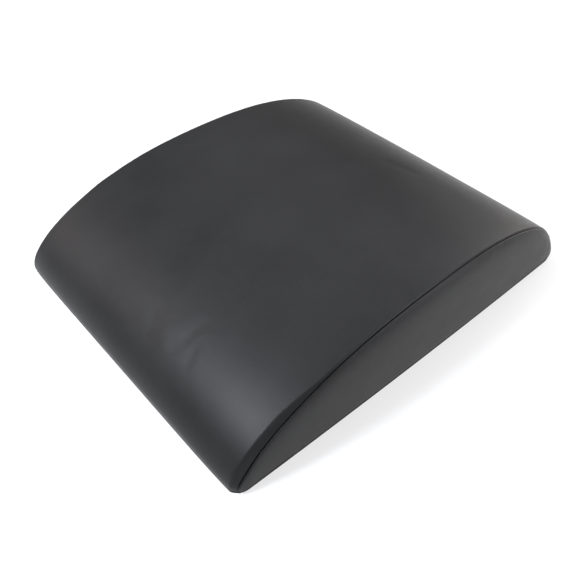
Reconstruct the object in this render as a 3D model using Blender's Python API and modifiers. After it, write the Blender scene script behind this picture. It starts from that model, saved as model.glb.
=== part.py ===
"""Ab mat: a moulded foam wedge in a sewn leatherette cover that zips across its tall end.

Metres, +Z up. +X runs from the thin front edge to the tall end, and +Y to the left of someone who
looks that way. The origin is on the floor, under the middle of the whole mat.
"""

import math

import bmesh
import bpy
import numpy as np
from mathutils import Matrix, Vector
from mathutils.geometry import interpolate_bezier

# Whole mat, over the cover
LENGTH = 0.380
WIDTH = 0.298
HEIGHT = 0.076

# Side profile: its points and handles along LENGTH and up HEIGHT, from the front base edge, up the
# nose, over the crown and down the tall end to the rear base edge
profile_shares = (
    (0.0, 0.0),
    (-0.029, 0.318),
    (0.126, 1.0),
    (0.558, 1.0),
    (0.827, 1.0),
    (0.961, 0.609),
    (1.0, 0.0),
)
PROFILE_STEPS = 200

# Sheet and play between neighbours
PANEL = 0.0012
CLEARANCE = 0.0003

# Roll where the top panel turns down to its side seams: across the mat and down it, at the nose
# and at the tall end, and the share of the length over which the first fades into the second
NOSE_ROLL_ACROSS = 0.0102
NOSE_ROLL_DOWN = 0.0064
TAIL_ROLL_ACROSS = 0.0030
TAIL_ROLL_DOWN = 0.0020
roll_fade_share = 0.36
# Above this many roll depths the roll turns square to the profile, and below it turns level
ROLL_TURN_RATIO = 2.5

# How far the seams are drawn in from the width, at the nose and at the tall end
NOSE_DRAW_IN = 0.0023
TAIL_DRAW_IN = 0.0061

# Side panels: bow of the base edge in plan, bulge of the face, how fast the face curls in to its
# seam, and the lean of its mesh columns at the ends
SIDE_BOW = 0.0018
SIDE_BULGE = 0.0010
CURL_POWER = 4
COLUMN_LEAN = 0.35
SIDE_TIP_HEIGHT = 0.003

# Seams
THREAD = 0.0005
SEAM_ALLOWANCE = 0.008
THREAD_DEPTH = 0.0015
BASE_THREAD_END = 0.020

# Foam core
CORE_EDGE_ROUND = 0.005
CORE_TOE_CUT = 0.004
CORE_RELIEF_RUN = 0.030

# Zip: chain height above the rear base edge along the wall, half of the window in the cover, tape
ZIP_RISE = 0.014
WINDOW_HALF = 0.005
TAPE_THICK = 0.0006
TAPE_HALF = 0.011
CHAIN_PART = 0.0006
COIL_WIDTH = 0.0024
COIL_THICK = 0.0022
COIL_ROUND = 0.0005
CHAIN_END_MARGIN = 0.016
STOP_LENGTH = 0.0025
STOP_ROUND = 0.0004
TOPSTITCH_MARGIN = 0.002

# Zip slider
SLIDER_LENGTH = 0.012
SLIDER_PLATE = 0.0012
SLIDER_FLANGE = 0.0010
SLIDER_CORNER = 0.0014
BRIDGE_THICK = 0.0006
BRIDGE_LENGTH = 0.0025

# Arch on the slider and the pull that hangs in it
ARCH_LENGTH = 0.0080
ARCH_WALL = 0.0014
ARCH_WIDTH = 0.0016
ARCH_TOP = 0.0008
PULL_BAR = 0.0008
EYE_LENGTH = 0.0052
EYE_ARM = 0.0012
PULL_LENGTH = 0.0260
PULL_WIDTH = 0.0056
PULL_CORNER = 0.0018

# Mesh counts
TOP_ROWS = 34
ROLL_STEPS = 4
FLAT_STEPS = 4
SIDE_COLUMNS = 36
SIDE_ROWS = 7
BASE_ROWS = 22
BASE_COLUMNS = 6
THREAD_POINTS = 44
CORE_POINTS = 30
LAP_ROWS = 3
EDGE_SEGMENTS = 3
CUT_OVERRUN = 0.001

# Colour, roughness and metallic value of each finish
FINISHES = {
    "leatherette": ((0.055, 0.055, 0.058), 0.42, 0.0),
    "base_leatherette": ((0.035, 0.035, 0.037), 0.60, 0.0),
    "foam": ((0.30, 0.30, 0.31), 0.95, 0.0),
    "thread": ((0.020, 0.020, 0.022), 0.70, 0.0),
    "zip_tape": ((0.018, 0.018, 0.020), 0.85, 0.0),
    "zip_coil": ((0.030, 0.030, 0.032), 0.45, 0.0),
    "zip_metal": ((0.060, 0.060, 0.065), 0.35, 1.0),
}


class Profile:
    """The mat's side profile as a curve of length, with places read by distance along it."""

    def __init__(self):
        knots = [Vector((a * LENGTH, b * HEIGHT)) for a, b in profile_shares]
        front = interpolate_bezier(*knots[0:4], PROFILE_STEPS)
        rear = interpolate_bezier(*knots[3:7], PROFILE_STEPS)
        points = np.array([tuple(p) for p in front + rear[1:]])
        self.x = points[:, 0]
        self.z = points[:, 1]
        self.along = np.concatenate(([0], np.cumsum(np.hypot(np.diff(self.x), np.diff(self.z)))))
        self.length = self.along[-1]
        self.step = np.arange(len(points)) / (len(points) - 1)
        self.slope = np.unwrap(np.arctan2(np.gradient(self.z), np.gradient(self.x)))

    def point(self, s):
        return Vector((np.interp(s, self.along, self.x), 0, np.interp(s, self.along, self.z)))

    def tangent(self, s):
        angle = np.interp(s, self.along, self.slope)
        return Vector((math.cos(angle), 0, math.sin(angle)))

    def normal(self, s):
        tangent = self.tangent(s)
        return Vector((-tangent.z, 0, tangent.x))

    def height_reached(self, z, from_front):
        """Distance along the profile at which it stands at height z, on its front or rear."""
        crown = int(np.argmax(self.z))
        if from_front:
            return float(np.interp(z, self.z[:crown], self.along[:crown]))
        return float(np.interp(-z, -self.z[crown:], self.along[crown:]))

    def spread(self, start, end, count):
        """count + 1 distances from start to end, closer together where the profile bends."""
        first, last = np.interp((start, end), self.along, self.step)
        return np.interp(np.linspace(first, last, count + 1), self.step, self.along)


PROFILE = Profile()
FLOOR = PANEL + CLEARANCE
SEAM_ROOM = THREAD + CLEARANCE * 2
ZIP_AT = PROFILE.length - ZIP_RISE

# Levels over the zip, measured out from the cover's face
TAPE_FACE = -PANEL - CLEARANCE
TAPE_BACK = TAPE_FACE - TAPE_THICK
COIL_BACK = TAPE_FACE + CLEARANCE
COIL_FACE = COIL_BACK + COIL_THICK
SLIDER_ROOF = COIL_FACE + CLEARANCE
SLIDER_TOP = SLIDER_ROOF + SLIDER_PLATE
SLIDER_SOLE = TAPE_BACK - CLEARANCE
SLIDER_BACK = SLIDER_SOLE - SLIDER_PLATE
BAR_LEVEL = SLIDER_TOP + CLEARANCE + PULL_BAR / 2
ARCH_CEILING = BAR_LEVEL + PULL_BAR / 2 + CLEARANCE
ARCH_CROWN = ARCH_CEILING + ARCH_TOP
CORE_ZIP_DEPTH = CLEARANCE * 2 - SLIDER_BACK

COIL_OUTER = CHAIN_PART + COIL_WIDTH
SLIDER_HALF = COIL_OUTER + CLEARANCE + SLIDER_FLANGE
SLIDER_HALF_LENGTH = SLIDER_LENGTH / 2

# The whole mat is centred on the origin: it reaches from the nose to the arch on the slider
ZIP_POINT = PROFILE.point(ZIP_AT)
ARCH_POINT = ZIP_POINT + PROFILE.normal(ZIP_AT) * ARCH_CROWN + PROFILE.tangent(ZIP_AT) * ARCH_WIDTH / 2
FRONT_REACH = float(PROFILE.x.min())
REAR_REACH = max(float(PROFILE.x.max()), ARCH_POINT.x)
FRAME = Vector((-(FRONT_REACH + REAR_REACH) / 2, 0, 0))


def ease(value):
    """Smooth step from 0 to 1."""
    value = min(max(value, 0), 1)
    return value * value * (3 - 2 * value)


def fade(s):
    """1 at the nose, falling to 0 where the roll has its size at the tall end."""
    return 1 - ease(PROFILE.point(s).x / (LENGTH * roll_fade_share))


def roll_across(s):
    return TAIL_ROLL_ACROSS + (NOSE_ROLL_ACROSS - TAIL_ROLL_ACROSS) * fade(s)


def roll_down(s):
    return TAIL_ROLL_DOWN + (NOSE_ROLL_DOWN - TAIL_ROLL_DOWN) * fade(s)


def seam_half(s):
    """Half width of the top panel at its side seams."""
    share = min(max(PROFILE.point(s).x / LENGTH, 0), 1)
    return WIDTH / 2 - NOSE_DRAW_IN - (TAIL_DRAW_IN - NOSE_DRAW_IN) * share


def inward(s):
    """Direction in which the top panel's edge turns: square to the crown, level at the floor."""
    normal = PROFILE.normal(s)
    level = ease(PROFILE.point(s).z / (roll_down(s) * ROLL_TURN_RATIO))
    return Vector((-normal.x, 0, -normal.z * level)).normalized()


def seam_point(s):
    return PROFILE.point(s) + inward(s) * roll_down(s)


def lapped_rows(side):
    """Distances at which a tape and the cover over it are both set out, from the window outward."""
    return [ZIP_AT + side * away for away in np.linspace(WINDOW_HALF, TAPE_HALF, LAP_ROWS)]


def base_half(x):
    """Half width of the mat at the floor."""
    share = x / LENGTH
    return WIDTH / 2 + SIDE_BOW * 4 * share * (1 - share)


SEAM_START = PROFILE.height_reached(FLOOR + SIDE_TIP_HEIGHT, True)
SEAM_END = PROFILE.height_reached(FLOOR + SIDE_TIP_HEIGHT, False)
TAIL_SEAM_HALF = seam_half(PROFILE.length)


def clear_scene():
    for item in list(bpy.data.objects):
        bpy.data.objects.remove(item, do_unlink=True)


def collection(name):
    group = bpy.data.collections.new(name)
    bpy.context.scene.collection.children.link(group)
    return group


def finish(name):
    """The Principled material of this name, made once."""
    if name in bpy.data.materials:
        return bpy.data.materials[name]
    colour, roughness, metallic = FINISHES[name]
    material = bpy.data.materials.new(name)
    material.use_nodes = True
    shader = material.node_tree.nodes["Principled BSDF"]
    shader.inputs["Base Color"].default_value = (*colour, 1)
    shader.inputs["Roughness"].default_value = roughness
    shader.inputs["Metallic"].default_value = metallic
    material.diffuse_color = (*colour, 1)
    return material


def add_object(name, data, group, material=None):
    item = bpy.data.objects.new(name, data)
    group.objects.link(item)
    if material:
        data.materials.append(finish(material))
    return item


def sheet(name, group, material, columns, rows, place, thickness, flip=False):
    """A grid set out by place(column, row) and thickened behind its face."""
    work = bmesh.new()
    bmesh.ops.create_grid(work, x_segments=columns, y_segments=rows, size=1)
    for vertex in work.verts:
        column = round((vertex.co.x + 1) / 2 * columns)
        row = round((vertex.co.y + 1) / 2 * rows)
        vertex.co = place(column, row) + FRAME
    if flip:
        bmesh.ops.reverse_faces(work, faces=work.faces)
    mesh = bpy.data.meshes.new(name)
    work.to_mesh(mesh)
    work.free()
    mesh.shade_smooth()
    item = add_object(name, mesh, group, material)
    solid = item.modifiers.new("Thickness", "SOLIDIFY")
    solid.thickness = thickness
    solid.offset = -1
    solid.use_even_offset = True
    return item


def tube(name, group, material, points, diameter):
    """A round thread through points, with closed ends."""
    curve = bpy.data.curves.new(name, "CURVE")
    curve.dimensions = "3D"
    curve.bevel_depth = diameter / 2
    curve.bevel_resolution = 1
    curve.use_fill_caps = True
    spline = curve.splines.new("POLY")
    spline.points.add(len(points) - 1)
    for spot, point in zip(spline.points, points):
        spot.co = (*(point + FRAME), 1)
    return add_object(name, curve, group, material)


def block(name, group, low, high, material=None):
    """A box between two corners in its own object's axes."""
    size = Vector(high) - Vector(low)
    middle = (Vector(high) + Vector(low)) / 2
    work = bmesh.new()
    bmesh.ops.create_cube(work, size=1)
    bmesh.ops.scale(work, vec=size, verts=work.verts)
    bmesh.ops.translate(work, vec=middle, verts=work.verts)
    mesh = bpy.data.meshes.new(name)
    work.to_mesh(mesh)
    work.free()
    return add_object(name, mesh, group, material)


def round_edges(item, width, along=None):
    """Bevel all edges, or only those that run along one axis of the object."""
    bevel = item.modifiers.new("Round", "BEVEL")
    bevel.width = width
    bevel.segments = EDGE_SEGMENTS
    if along is None:
        return
    bevel.limit_method = "WEIGHT"
    mesh = item.data
    weights = mesh.attributes.new("bevel_weight_edge", "FLOAT", "EDGE")
    for edge in mesh.edges:
        run = mesh.vertices[edge.vertices[0]].co - mesh.vertices[edge.vertices[1]].co
        weights.data[edge.index].value = float(abs(run.normalized()[along]) > math.cos(math.radians(1)))


def boolean(item, other, operation, cutters):
    """Join other to item, or cut it away, and keep other as a hidden cutter."""
    for group in list(other.users_collection):
        group.objects.unlink(other)
    cutters.objects.link(other)
    other.hide_render = True
    other.display_type = "WIRE"
    step = item.modifiers.new(other.name, "BOOLEAN")
    step.operation = operation
    step.object = other
    step.solver = "EXACT"


def make_core(parts):
    """Foam block cut to the profile inside the cover, relieved behind the zip, its sides and toe eased."""

    def depth(s):
        run = ease((s - (PROFILE.length - CORE_RELIEF_RUN - ZIP_RISE)) / CORE_RELIEF_RUN)
        return FLOOR + (CORE_ZIP_DEPTH - FLOOR) * run

    distances = PROFILE.spread(0, PROFILE.length, CORE_POINTS * 2)
    outline = [PROFILE.point(s) - PROFILE.normal(s) * depth(s) for s in distances]
    inner_x = np.array([p.x for p in outline])
    inner_z = np.array([p.z for p in outline])
    crown = int(np.argmax(inner_z))
    front = float(np.interp(FLOOR, inner_z[:crown], inner_x[:crown]))
    rear = float(np.interp(-FLOOR, -inner_z[crown:], inner_x[crown:]))
    over = [(p.x, p.z) for p in outline if p.z > FLOOR + CORE_TOE_CUT]
    points = [(front + CORE_TOE_CUT, FLOOR)] + over + [(rear, FLOOR)]

    half = TAIL_SEAM_HALF - PANEL - CLEARANCE
    curve = bpy.data.curves.new("foam_outline", "CURVE")
    curve.dimensions = "2D"
    curve.fill_mode = "BOTH"
    curve.extrude = half
    spline = curve.splines.new("POLY")
    spline.points.add(len(points) - 1)
    spline.use_cyclic_u = True
    for spot, (x, z) in zip(spline.points, points):
        spot.co = (x + FRAME.x, z, 0, 1)
    outline_object = add_object("foam_outline", curve, parts)
    outline_object.rotation_euler = (math.pi / 2, 0, 0)
    bpy.context.view_layer.update()
    scene_state = bpy.context.evaluated_depsgraph_get()
    mesh = bpy.data.meshes.new_from_object(outline_object.evaluated_get(scene_state))
    mesh.transform(outline_object.matrix_world)
    bpy.data.objects.remove(outline_object, do_unlink=True)

    work = bmesh.new()
    work.from_mesh(mesh)
    bmesh.ops.remove_doubles(work, verts=work.verts, dist=CLEARANCE / 10)
    bmesh.ops.dissolve_limit(work, angle_limit=math.radians(0.1), verts=work.verts, edges=work.edges)
    bmesh.ops.recalc_face_normals(work, faces=work.faces)
    weight = work.edges.layers.float.new("bevel_weight_edge")
    for edge in work.edges:
        edge[weight] = float(edge.verts[0].co.y * edge.verts[1].co.y > 0)
    work.to_mesh(mesh)
    work.free()
    mesh.name = "foam_core"
    item = add_object("foam_core", mesh, parts, "foam")
    bevel = item.modifiers.new("Eased sides", "BEVEL")
    bevel.width = CORE_EDGE_ROUND
    bevel.segments = EDGE_SEGMENTS
    bevel.limit_method = "WEIGHT"
    return item


def top_stations():
    """Stations across the top panel: side, turn of the roll, run past the seam, share of the flat."""
    turns = [math.pi / 2 * k / ROLL_STEPS for k in range(ROLL_STEPS, 0, -1)]
    right = [(-1, math.pi / 2, SEAM_ALLOWANCE, 1)] + [(-1, turn, 0, 1) for turn in turns]
    flat = [(1, 0, 0, 2 * k / FLAT_STEPS - 1) for k in range(FLAT_STEPS + 1)]
    left = [(-side, turn, run, share) for side, turn, run, share in reversed(right)]
    return right + flat + left


def make_top_panel(parts):
    """One sheet from the front base edge over the crown to the zip, turned down at both sides."""
    start = PROFILE.height_reached(FLOOR, True)
    over_tape = lapped_rows(-1)[::-1]
    rows = list(PROFILE.spread(start, over_tape[0], TOP_ROWS)) + over_tape[1:]
    stations = top_stations()

    def place(column, row):
        s = rows[column]
        side, turn, run, share = stations[row]
        half = seam_half(s) - roll_across(s) * (1 - math.sin(turn))
        point = PROFILE.point(s) + inward(s) * (roll_down(s) * (1 - math.cos(turn)) + run)
        point.y = side * half * share
        point.z = max(point.z, FLOOR)
        return point

    return sheet("top_panel", parts, "leatherette", len(rows) - 1, len(stations) - 1, place, PANEL)


def make_side_panel(parts, name, side):
    """Crescent between the base edge and the side seam, bulged, and curled in to the seam."""
    columns = PROFILE.spread(SEAM_START, SEAM_END, SIDE_COLUMNS)

    def place(column, row):
        s = columns[column]
        seam = seam_point(s)
        rise = row / SIDE_ROWS
        height = seam.z - FLOOR
        foot = seam.x + COLUMN_LEAN * height * (1 - 2 * seam.x / LENGTH)
        x = foot + (seam.x - foot) * rise
        top_half = seam_half(s) + SEAM_ROOM + PANEL
        foot_half = base_half(x)
        bulge = SIDE_BULGE * math.sin(math.pi * rise) * ease(height / (HEIGHT / 2))
        y = foot_half + (top_half - foot_half) * rise ** CURL_POWER + bulge
        return Vector((x, side * y, FLOOR + height * rise))

    return sheet(name, parts, "leatherette", SIDE_COLUMNS, SIDE_ROWS, place, PANEL, side > 0)


def make_base_panel(parts):
    """Flat sheet under the mat, with rounded corners, turned up the tall end as far as the zip."""
    nose_half = seam_half(0) - NOSE_ROLL_ACROSS
    tail_half = TAIL_SEAM_HALF - TAIL_ROLL_ACROSS
    flange = lapped_rows(1)[::-1]
    nose_rows = [NOSE_ROLL_DOWN * (1 - math.cos(math.pi / 2 * k / ROLL_STEPS)) for k in range(ROLL_STEPS)]
    tail_rows = [LENGTH - TAIL_ROLL_DOWN, LENGTH - TAIL_ROLL_DOWN / 4, LENGTH]
    middle_count = BASE_ROWS - len(nose_rows) - len(tail_rows)
    middle = list(np.linspace(NOSE_ROLL_DOWN, LENGTH - TAIL_ROLL_DOWN, middle_count + 1)[:-1])
    flat_rows = nose_rows + middle + tail_rows

    def half_width(x):
        whole = base_half(x)
        if x < NOSE_ROLL_DOWN:
            return nose_half + (whole - nose_half) * math.sqrt(1 - (1 - x / NOSE_ROLL_DOWN) ** 2)
        back = max(x - LENGTH + TAIL_ROLL_DOWN, 0) / TAIL_ROLL_DOWN
        return tail_half + (whole - tail_half) * math.sqrt(max(1 - back ** 2, 0))

    def place(column, row):
        across = 1 - 2 * row / BASE_COLUMNS
        if column < len(flat_rows):
            x = flat_rows[column]
            return Vector((x, across * half_width(x), 0))
        point = PROFILE.point(flange[column - len(flat_rows)])
        point.y = across * tail_half
        return point

    columns = len(flat_rows) + len(flange) - 1
    return sheet("base_panel", parts, "base_leatherette", columns, BASE_COLUMNS, place, PANEL)


def make_seam_threads(parts):
    """Lock-stitch lines: one in each side seam, and three where the cover meets the base."""
    made = []
    level = FLOOR + THREAD / 2
    distances = PROFILE.spread(SEAM_START + THREAD_DEPTH, SEAM_END - THREAD_DEPTH, THREAD_POINTS)
    for name, side in (("left", 1), ("right", -1)):
        points = []
        for s in distances:
            point = seam_point(s) + inward(s) * THREAD_DEPTH
            point.y = side * (seam_half(s) + SEAM_ROOM / 2)
            point.z = max(point.z, level)
            points.append(point)
        made.append(tube("seam_thread_" + name, parts, "thread", points, THREAD))
        run = np.linspace(BASE_THREAD_END, LENGTH - BASE_THREAD_END, THREAD_POINTS // 2)
        inset = PANEL + CLEARANCE + THREAD
        foot = [Vector((x, side * (base_half(x) - inset), level)) for x in run]
        made.append(tube("base_thread_" + name, parts, "thread", foot, THREAD))
    front = PROFILE.height_reached(level, True)
    at = PROFILE.point(front) - PROFILE.normal(front) * (PANEL + CLEARANCE + THREAD)
    half = WIDTH / 2 - BASE_THREAD_END
    ends = [Vector((at.x, -half, level)), Vector((at.x, half, level))]
    made.append(tube("base_thread_front", parts, "thread", ends, THREAD))
    return made


def zip_frame():
    """Axes of the zip: X down the wall, Y along the chain, Z out of the cover's face."""
    tangent = PROFILE.tangent(ZIP_AT)
    turn = Matrix.Rotation(math.atan2(-tangent.z, tangent.x), 4, "Y")
    return Matrix.Translation(PROFILE.point(ZIP_AT) + FRAME) @ turn


def make_zip_fabric(parts):
    """The two tapes behind the window, and the topstitching that holds them to the cover."""
    half = TAIL_SEAM_HALF - TAIL_ROLL_ACROSS
    for name, side in (("upper", -1), ("lower", 1)):
        distances = sorted([ZIP_AT + side * CHAIN_PART] + lapped_rows(side))

        def place(column, row):
            s = distances[column]
            point = PROFILE.point(s) + PROFILE.normal(s) * TAPE_FACE
            point.y = half * (2 * row - 1)
            return point

        sheet("zip_tape_" + name, parts, "zip_tape", LAP_ROWS, 1, place, TAPE_THICK)
        s = ZIP_AT + side * (WINDOW_HALF + TOPSTITCH_MARGIN)
        lift = CLEARANCE + THREAD / 2
        at = PROFILE.point(s) + PROFILE.normal(s) * lift
        reach = half - TOPSTITCH_MARGIN
        ends = [Vector((at.x, -reach, at.z)), Vector((at.x, reach, at.z))]
        tube("zip_topstitch_" + name, parts, "thread", ends, THREAD)


def make_zip_chain(parts, axes):
    """Both rows of coil, the two stops that end them on the left and the stop that joins them."""
    left_end = TAIL_SEAM_HALF - CHAIN_END_MARGIN
    right_end = -left_end
    for name, side in (("upper", -1), ("lower", 1)):
        near, far = sorted((side * CHAIN_PART, side * COIL_OUTER))
        coil = block(
            "zip_coil_" + name,
            parts,
            (near, right_end, COIL_BACK),
            (far, left_end, COIL_FACE),
            "zip_coil",
        )
        round_edges(coil, COIL_ROUND, 1)
        stop = block(
            "zip_top_stop_" + name,
            parts,
            (near, left_end + CLEARANCE, COIL_BACK),
            (far, left_end + CLEARANCE + STOP_LENGTH, COIL_FACE),
            "zip_metal",
        )
        round_edges(stop, STOP_ROUND)
        coil.matrix_world = axes
        stop.matrix_world = axes
    joined = block(
        "zip_bottom_stop",
        parts,
        (-COIL_OUTER, right_end - CLEARANCE - STOP_LENGTH, COIL_BACK),
        (COIL_OUTER, right_end - CLEARANCE, COIL_FACE),
        "zip_metal",
    )
    round_edges(joined, STOP_ROUND)
    joined.matrix_world = axes
    return left_end


def make_slider(parts, cutters, axes, rest):
    """Channel that straddles the coils, a sole behind the tapes, the bridge that joins them, an arch."""
    end = SLIDER_HALF_LENGTH
    flange_foot = TAPE_FACE + CLEARANCE
    slider = block(
        "zip_slider",
        parts,
        (-SLIDER_HALF, -end, flange_foot),
        (SLIDER_HALF, end, SLIDER_TOP),
        "zip_metal",
    )
    round_edges(slider, SLIDER_CORNER, 2)
    channel_half = COIL_OUTER + CLEARANCE
    channel = block(
        "slider_channel",
        parts,
        (-channel_half, -end - CUT_OVERRUN, flange_foot - CUT_OVERRUN),
        (channel_half, end + CUT_OVERRUN, SLIDER_ROOF),
    )
    boolean(slider, channel, "DIFFERENCE", cutters)
    sole = block("slider_sole", parts, (-SLIDER_HALF, -end, SLIDER_BACK), (SLIDER_HALF, end, SLIDER_SOLE))
    round_edges(sole, SLIDER_CORNER, 2)
    boolean(slider, sole, "UNION", cutters)
    sunk = SLIDER_PLATE / 2
    bridge = block(
        "slider_bridge",
        parts,
        (-BRIDGE_THICK / 2, end - SLIDER_CORNER - BRIDGE_LENGTH, SLIDER_SOLE - sunk),
        (BRIDGE_THICK / 2, end - SLIDER_CORNER, SLIDER_ROOF + sunk),
    )
    boolean(slider, bridge, "UNION", cutters)
    arch_end = ARCH_LENGTH / 2
    arch = block(
        "slider_arch",
        parts,
        (-ARCH_WIDTH / 2, -arch_end, SLIDER_TOP - sunk),
        (ARCH_WIDTH / 2, arch_end, ARCH_CROWN),
    )
    round_edges(arch, ARCH_TOP, 0)
    eye = block(
        "slider_arch_eye",
        parts,
        (-ARCH_WIDTH, -arch_end + ARCH_WALL, SLIDER_TOP),
        (ARCH_WIDTH, arch_end - ARCH_WALL, ARCH_CEILING),
    )
    boolean(arch, eye, "DIFFERENCE", cutters)
    boolean(slider, arch, "UNION", cutters)
    place = axes @ Matrix.Translation((0, rest, 0))
    for item in (slider, channel, sole, bridge, arch, eye):
        item.matrix_world = place
    return slider


def make_pull(parts, cutters, axes, rest):
    """Flat tab whose eye goes round the arch; the bar across the eye turns under it."""
    thick = PULL_BAR / 2
    pull = block(
        "zip_pull",
        parts,
        (-PULL_WIDTH / 2, -PULL_LENGTH, -thick),
        (PULL_WIDTH / 2, thick, thick),
        "zip_metal",
    )
    round_edges(pull, PULL_CORNER, 2)
    eye_half = PULL_WIDTH / 2 - EYE_ARM
    eye = block(
        "pull_eye",
        parts,
        (-eye_half, -EYE_LENGTH, -thick - CUT_OVERRUN),
        (eye_half, -thick, thick + CUT_OVERRUN),
    )
    boolean(pull, eye, "DIFFERENCE", cutters)
    place = axes @ Matrix.Translation((0, rest, BAR_LEVEL))
    pull.matrix_world = place
    eye.matrix_world = place
    return pull


def main():
    clear_scene()
    parts = collection("ab_mat")
    cutters = collection("cutters")
    make_core(parts)
    make_top_panel(parts)
    make_side_panel(parts, "side_panel_left", 1)
    make_side_panel(parts, "side_panel_right", -1)
    make_base_panel(parts)
    make_seam_threads(parts)
    make_zip_fabric(parts)
    axes = zip_frame()
    chain_end = make_zip_chain(parts, axes)
    rest = chain_end - SLIDER_HALF_LENGTH
    make_slider(parts, cutters, axes, rest)
    make_pull(parts, cutters, axes, rest)
    bar = axes @ Vector((0, rest, BAR_LEVEL))
    down = (axes @ Vector((1, 0, 0))) - (axes @ Vector((0, 0, 0)))
    travel = 2 * chain_end - SLIDER_LENGTH
    print("Slider at", tuple(round(v, 5) for v in axes @ Vector((0, rest, 0))), "travel", round(travel, 5))
    print("Pull bar at", tuple(round(v, 5) for v in bar), "axis", tuple(round(v, 5) for v in down))


main()
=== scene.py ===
"""Ab mat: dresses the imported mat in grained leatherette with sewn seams, stitches and a coil zip.

Metres, +Z up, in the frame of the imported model: +X runs from the thin front edge to the tall end.
"""

import math

import bmesh
import bpy
import numpy as np
from bpy.props import FloatProperty, FloatVectorProperty, PointerProperty
from mathutils import Matrix, Vector, noise
from mathutils.geometry import interpolate_bezier


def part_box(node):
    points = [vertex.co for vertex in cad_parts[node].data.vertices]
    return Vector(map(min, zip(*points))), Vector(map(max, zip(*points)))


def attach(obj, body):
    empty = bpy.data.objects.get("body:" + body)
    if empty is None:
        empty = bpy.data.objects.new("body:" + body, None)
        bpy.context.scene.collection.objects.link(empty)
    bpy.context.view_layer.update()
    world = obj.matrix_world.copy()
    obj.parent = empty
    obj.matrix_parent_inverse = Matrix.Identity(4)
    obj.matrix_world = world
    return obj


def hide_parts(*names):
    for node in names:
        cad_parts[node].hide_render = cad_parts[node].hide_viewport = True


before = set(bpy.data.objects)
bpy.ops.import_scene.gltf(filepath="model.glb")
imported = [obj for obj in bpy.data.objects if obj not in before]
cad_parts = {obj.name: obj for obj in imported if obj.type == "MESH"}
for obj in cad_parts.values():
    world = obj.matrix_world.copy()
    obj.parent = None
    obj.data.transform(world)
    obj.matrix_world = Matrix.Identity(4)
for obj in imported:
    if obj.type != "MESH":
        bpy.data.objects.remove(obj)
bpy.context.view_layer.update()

bl_info = {
    "name": "Ab mat",
    "version": (1, 0, 0),
    "blender": (4, 5, 0),
    "location": "3D View > Sidebar > Ab mat",
    "description": "Covers, stitches, zip and stage of a curved foam mat",
    "category": "Object",
}

FRONT_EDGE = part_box("base_panel")[0].x

# Side profile: points and handles as shares of the length and the height
PROFILE_SHARES = (
    (0.0, 0.0),
    (-0.029, 0.318),
    (0.126, 1.0),
    (0.558, 1.0),
    (0.827, 1.0),
    (0.961, 0.609),
    (1.0, 0.0),
)
PROFILE_STEPS = 400

# Sheets: their thickness, the room between two of them, and the height of the covers' lower edges
PANEL = 0.0012
SIDE_PANEL = PANEL * 0.6
CLEARANCE = 0.0003
FLOOR = PANEL + CLEARANCE

# Roll beside the side seam: shares of the length between which it narrows, and gets shallower
ROLL_NARROWS = (0.10, 0.22)
ROLL_RISES = (0.0, 0.36)
# By how much it is shallower at the front base edge, and over what distance
ROLL_FOOT = (0.0016, 0.010)
# By how much it is deeper near the nose, how far along the profile, and over what distance
ROLL_HOLLOW = (0.0012, 0.030, 0.014)
# How gently it sets in, and the share of its drop that is spread inward, with that share's reach
CREST = 0.7
SHOULDER = (0.28, 0.018)
# Height above the floor, in depths of the roll, from which it turns square to the crown
ROLL_SQUARE = 2.5

# Columns of points along the top cover
TOP_COLUMNS = 230

# Rounding of the base's corners: its length along the side and its depth
TAIL_CORNER = (0.018, 0.0044)
NOSE_CORNER = (0.012, 0.0020)
# Shares of the base, at its front and rear, over which it reaches its whole width
BASE_SWELL = (0.012, 0.020)
# Where its closer rows of points end and begin again, as shares, and the points of the three runs
BASE_ENDS = (0.06, 0.94)
BASE_STEPS = (9, 50, 13)
FLANGE_STEPS = 12

# Seams and the room between the panels that they join
THREAD = 0.0005
SEAM_ROOM = THREAD + CLEARANCE * 2
SEAM_ALLOWANCE = 0.008
STITCH_DEPTH = 0.0011

# One stitch: rings and sides of its mesh, its start and length as shares of the pitch, its girth at
# the ends as a share of the whole, and the start and length of the part of a half wave it follows
STITCH_RINGS = 7
STITCH_SIDES = 6
STITCH_START = 0.07
STITCH_SPAN = 0.86
STITCH_THIN = 0.35
WAVE_START = 0.12
WAVE_SPAN = 0.76
# Lines of stitches: how high a seam's line ends above the covers' lower edge, its margin, and points
SEAM_TIP = 0.003
SEAM_MARGIN = 0.002
SEAM_POINTS = 600
TOPSTITCH_POINTS = 300

# Side covers: height of their tips above the lower edge, least height of the face, lean of the rows
# of points towards both ends, columns of points, and points below the lip
SIDE_TIP = 0.0016
SIDE_LEAST = 0.0004
SIDE_LEAN = 0.35
SIDE_COLUMNS = 220
SIDE_ROWS = 13
# Curl in to the seam: its reach below the seam, its share of the way in, the power of the height that
# the rest of the way follows, and how far the edge stands out past the seam
LIP_CURL = 0.0046
LIP_SHARE = 0.50
LIP_POWER = 4
LIP_OVER = 0.0009
# Distances of its rows of points below the seam, and the most of a low face that they take
LIP_ROWS = np.array(
    (0.0150, 0.0115, 0.0088, 0.0068, 0.0052, 0.0041, 0.0032, 0.0026, 0.0021, 0.0016, 0.0011, 0.0006, 0)
)
LIP_ROWS_SHARE = 0.8
# Fold at the seam and hem at the floor: turns in degrees, radius, and the most of a low face it takes
FOLD_TURNS = (0, 22, 45, 67, 90)
FOLD_RADIUS = PANEL * 0.95
FOLD_SHARE = 0.4
HEM_TURNS = (90, 60, 30)
HEM_RADIUS = 0.0007
HEM_SHARE = 0.3

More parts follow.
